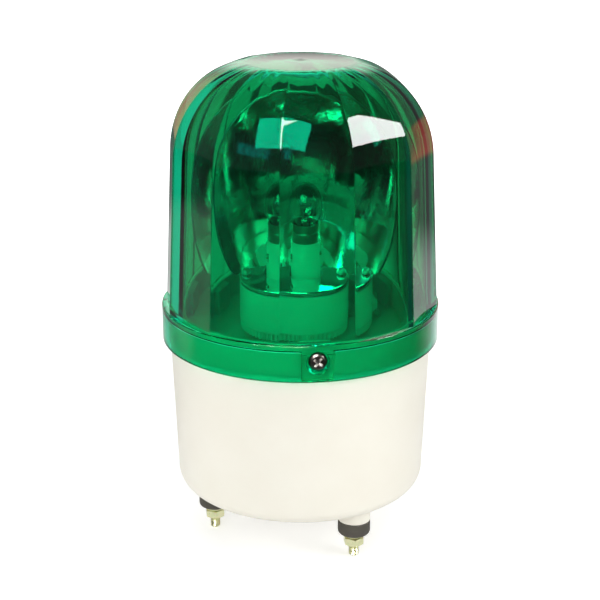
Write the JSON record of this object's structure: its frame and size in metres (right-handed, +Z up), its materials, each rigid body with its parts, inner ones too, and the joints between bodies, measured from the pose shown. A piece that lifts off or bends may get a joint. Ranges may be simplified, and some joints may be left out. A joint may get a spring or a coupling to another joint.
{
  "type": "rotating warning beacon with siren",
  "caption": "Green rotating warning beacon with a siren: a faceted dome lens over a turning parabolic reflector and lamp, on a round cream housing with stud feet.",
  "frame": {"origin": "on the surface it stands on, at the tips of the studs, on the beacon's round axis", "axes": "+Z up along the beacon's axis; -Y the front, where one lens screw shows; +X to the right seen from the front"},
  "size_m": [0.105, 0.105, 0.1856],
  "materials": {
    "cream_housing": "satin moulded plastic, cream white",
    "green_lens": "clear tinted moulded plastic, green, polished",
    "black_rubber": "matte rubber, dark brown-grey",
    "yellow_zinc": "yellow passivated zinc plate",
    "dark_screw": "dark plated steel",
    "plain_steel": "nickel plated steel",
    "black_plastic": "black moulded plastic",
    "white_plastic": "white moulded plastic",
    "chrome_mirror": "vacuum metallised mirror on plastic",
    "nickel": "nickel plated brass",
    "brass": "plain brass",
    "clear_glass": "clear lamp glass",
    "brown_insulator": "laminated phenolic sheet",
    "board_green": "lacquered circuit board",
    "dark_blue_sleeve": "printed shrink sleeve, plain",
    "red_sleeve": "soft cable sleeve",
    "blue_sleeve": "soft cable sleeve"
  },
  "bodies": {
    "housing": {"lens": "green_lens", "lens_gasket": "black_rubber", "lens_screw_1": "dark_screw", "lens_screw_2": "dark_screw", "lens_screw_3": "dark_screw", "base_housing": "cream_housing", "foot_bolt_1": "yellow_zinc", "foot_bolt_2": "yellow_zinc", "foot_bolt_3": "yellow_zinc", "foot_nut_1": "yellow_zinc", "foot_nut_2": "yellow_zinc", "foot_nut_3": "yellow_zinc", "foot_washer_1": "yellow_zinc", "foot_washer_2": "yellow_zinc", "foot_washer_3": "yellow_zinc", "rubber_foot_1": "black_rubber", "rubber_foot_2": "black_rubber", "rubber_foot_3": "black_rubber", "cable_grommet": "black_rubber", "siren_housing": "black_plastic", "siren_ring": "black_plastic", "siren_disc": "brass", "siren_screw_1": "plain_steel", "siren_screw_2": "plain_steel", "chassis": "black_plastic", "chassis_screw_1": "plain_steel", "chassis_screw_2": "plain_steel", "chassis_screw_3": "plain_steel", "gearbox": "plain_steel", "motor_can": "plain_steel", "motor_screw_1": "plain_steel", "motor_screw_2": "plain_steel", "driver_board": "board_green", "board_screw_1": "plain_steel", "board_screw_2": "plain_steel", "terminal_block": "board_green", "capacitor": "dark_blue_sleeve", "driver_chip": "black_plastic", "lamp_post": "plain_steel", "post_nut": "plain_steel", "thrust_washer": "white_plastic", "lamp_holder": "nickel", "holder_insulator": "brown_insulator", "holder_contact": "brass", "lamp_contact": "plain_steel", "lamp_cap": "nickel", "lamp_glass": "clear_glass", "lamp_filament": "plain_steel", "lamp_lead": "red_sleeve", "motor_lead": "blue_sleeve", "siren_lead": "black_rubber"},
    "rotor": {"drive_gear": "white_plastic", "rotor_bush": "brass", "reflector": "chrome_mirror", "reflector_screw_1": "plain_steel", "reflector_screw_2": "plain_steel"},
    "driver": {"pinion": "white_plastic", "motor_shaft": "plain_steel"}
  },
  "joints": [
    {"name": "reflector_spin", "type": "hinge", "parent": "housing", "child": "rotor", "pos_m": [0, 0, 0.09], "axis": [0, 0, 1], "continuous": true},
    {"name": "pinion_spin", "type": "hinge", "parent": "housing", "child": "driver", "pos_m": [0.02416, 0.01395, 0.0867], "axis": [0, 0, 1], "continuous": true}
  ],
  "couplings": [
    {"joint": "pinion_spin", "follows": "reflector_spin", "ratio": -5.0769}
  ]
}
